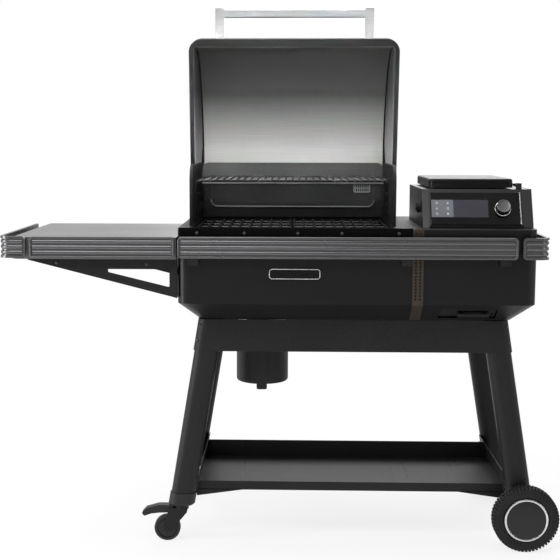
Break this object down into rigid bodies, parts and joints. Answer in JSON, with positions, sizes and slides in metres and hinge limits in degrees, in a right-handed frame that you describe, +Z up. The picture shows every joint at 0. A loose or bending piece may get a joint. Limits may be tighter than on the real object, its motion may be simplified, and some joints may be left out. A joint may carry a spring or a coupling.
{
  "type": "pellet smoker grill",
  "caption": "Freestanding wood pellet smoker grill with an open hood, wire racks, side hopper with control panel, side shelf and wheeled splayed legs.",
  "frame": {"origin": "on the floor under the middle of the grill's box, with the hood open as at rest", "axes": "+X to the hopper side, +Y to the back, +Z up"},
  "size_m": [1.5066, 0.907, 1.5079],
  "materials": {
    "black_powder_coat": "fine textured black powder coat",
    "grey_metallic": "gunmetal metallic powder coat",
    "brushed_liner": "brushed stainless",
    "brushed_handle": "brushed anodised aluminium",
    "bronze": "bronze metallic paint",
    "enamelled_wire": "porcelain enamel",
    "plain_steel": "galvanised or plain steel",
    "black_plastic": "fine grained moulding",
    "gloss_panel": "polished black",
    "display_glass": "smoked display window",
    "knob_metal": "spun aluminium",
    "tyre_rubber": "matt rubber",
    "cover_rubber": "matt rubber"
  },
  "bodies": {
    "cart": {"barrel_shell": "black_powder_coat", "deck_plate": "black_powder_coat", "chamber_tub": "black_powder_coat", "chamber_sides": "black_powder_coat", "chamber_back": "black_powder_coat", "rack_hangers": "black_powder_coat", "exhaust_duct": "black_powder_coat", "front_lip": "black_powder_coat", "vent_strip": "bronze", "name_plate": "grey_metallic", "drip_tray": "black_powder_coat", "heat_baffle": "plain_steel", "fire_pot": "plain_steel", "igniter": "plain_steel", "auger_tube": "plain_steel", "auger_motor": "black_plastic", "blower_housing": "black_plastic", "lower_grates": "enamelled_wire", "hood_hinges": "plain_steel", "hopper_housing": "black_powder_coat", "hopper_bin": "plain_steel", "hopper_guard": "plain_steel", "control_panel": "gloss_panel", "display": "display_glass", "probe_port_cover": "cover_rubber", "front_rails": "grey_metallic", "end_rails": "grey_metallic", "rail_brackets": "black_powder_coat", "side_shelf": "grey_metallic", "shelf_braces": "black_powder_coat", "legs": "black_powder_coat", "leg_caps": "black_plastic", "leg_aprons": "black_powder_coat", "bottom_shelf": "black_powder_coat", "shelf_ends": "black_powder_coat", "wheel_axle": "plain_steel", "keg_collar": "plain_steel", "screws": "plain_steel"},
    "hood": {"hood_shell": "black_powder_coat", "hood_liner": "brushed_liner", "hood_handle": "brushed_handle"},
    "lid": {"hopper_lid": "black_powder_coat"},
    "knob_shaft": {"encoder_shaft": "plain_steel"},
    "knob": {"control_knob": "knob_metal"},
    "gate": {"cleanout_gate": "black_powder_coat"},
    "switch": {"power_switch": "black_plastic"},
    "rack": {"upper_rack": "enamelled_wire"},
    "auger_screw": {"auger": "plain_steel"},
    "blower": {"blower_wheel": "black_plastic"},
    "keg": {"grease_keg": "black_powder_coat"},
    "front_wheel": {"front_tyre": "tyre_rubber", "front_hub": "black_plastic"},
    "rear_wheel": {"rear_tyre": "tyre_rubber", "rear_hub": "black_plastic"},
    "front_caster": {"front_fork": "black_powder_coat"},
    "front_roller": {"front_caster_wheel": "black_plastic"},
    "front_pedal": {"front_brake": "black_plastic"},
    "rear_caster": {"rear_fork": "black_powder_coat"},
    "rear_roller": {"rear_caster_wheel": "black_plastic"},
    "rear_pedal": {"rear_brake": "black_plastic"}
  },
  "joints": [
    {"name": "hood_hinge", "type": "hinge", "parent": "cart", "child": "hood", "pos_m": [0.02575, 0.12953, 0.884], "axis": [-1, 0, 0], "range_deg": [-81.5, 0]},
    {"name": "hopper_lid_hinge", "type": "hinge", "parent": "cart", "child": "lid", "pos_m": [0.62275, -0.31547, 0.996], "axis": [0, 1, 0], "range_deg": [0, 95]},
    {"name": "knob_push", "type": "slide", "parent": "cart", "child": "knob_shaft", "axis": [0, 0.9, -0.4358], "range_m": [0, 0.0015], "stiffness_N_per_m": 400},
    {"name": "knob_turn", "type": "hinge", "parent": "knob_shaft", "child": "knob", "pos_m": [0.58375, -0.36108, 0.9321], "axis": [0, -0.9, 0.4358], "continuous": true},
    {"name": "cleanout_pull", "type": "slide", "parent": "cart", "child": "gate", "axis": [0, -1, 0], "range_m": [0, 0.03]},
    {"name": "power_rock", "type": "hinge", "parent": "cart", "child": "switch", "pos_m": [0.56375, 0.11353, 0.78], "axis": [1, 0, 0], "range_deg": [-8, 0]},
    {"name": "upper_rack_slide", "type": "slide", "parent": "cart", "child": "rack", "axis": [0, -1, 0], "range_m": [0, 0.13]},
    {"name": "auger_spin", "type": "hinge", "parent": "cart", "child": "auger_screw", "pos_m": [0.30375, -0.15347, 0.702], "axis": [1, 0, 0], "continuous": true},
    {"name": "blower_spin", "type": "hinge", "parent": "cart", "child": "blower", "pos_m": [0.38375, -0.28347, 0.705], "axis": [1, 0, 0], "continuous": true},
    {"name": "keg_lower", "type": "slide", "parent": "cart", "child": "keg", "axis": [0, 0, -1], "range_m": [0, 0.2]},
    {"name": "front_wheel_spin", "type": "hinge", "parent": "cart", "child": "front_wheel", "pos_m": [0.66295, -0.38747, 0.0903], "axis": [0, 1, 0], "continuous": true},
    {"name": "rear_wheel_spin", "type": "hinge", "parent": "cart", "child": "rear_wheel", "pos_m": [0.66295, 0.13153, 0.0903], "axis": [0, 1, 0], "continuous": true},
    {"name": "front_caster_swivel", "type": "hinge", "parent": "cart", "child": "front_caster", "pos_m": [-0.28253, -0.33047, 0.104], "axis": [0, 0, 1], "continuous": true},
    {"name": "front_roller_spin", "type": "hinge", "parent": "front_caster", "child": "front_roller", "pos_m": [-0.32253, -0.33047, 0.0365], "axis": [0, 1, 0], "continuous": true},
    {"name": "front_brake_press", "type": "hinge", "parent": "front_caster", "child": "front_pedal", "pos_m": [-0.31253, -0.33047, 0.09], "axis": [0, -1, 0], "range_deg": [0, 4]},
    {"name": "rear_caster_swivel", "type": "hinge", "parent": "cart", "child": "rear_caster", "pos_m": [-0.28253, 0.07453, 0.104], "axis": [0, 0, 1], "continuous": true},
    {"name": "rear_roller_spin", "type": "hinge", "parent": "rear_caster", "child": "rear_roller", "pos_m": [-0.28253, 0.11453, 0.0365], "axis": [1, 0, 0], "continuous": true},
    {"name": "rear_brake_press", "type": "hinge", "parent": "rear_caster", "child": "rear_pedal", "pos_m": [-0.28253, 0.10453, 0.09], "axis": [-1, 0, 0], "range_deg": [0, 4]}
  ]
}
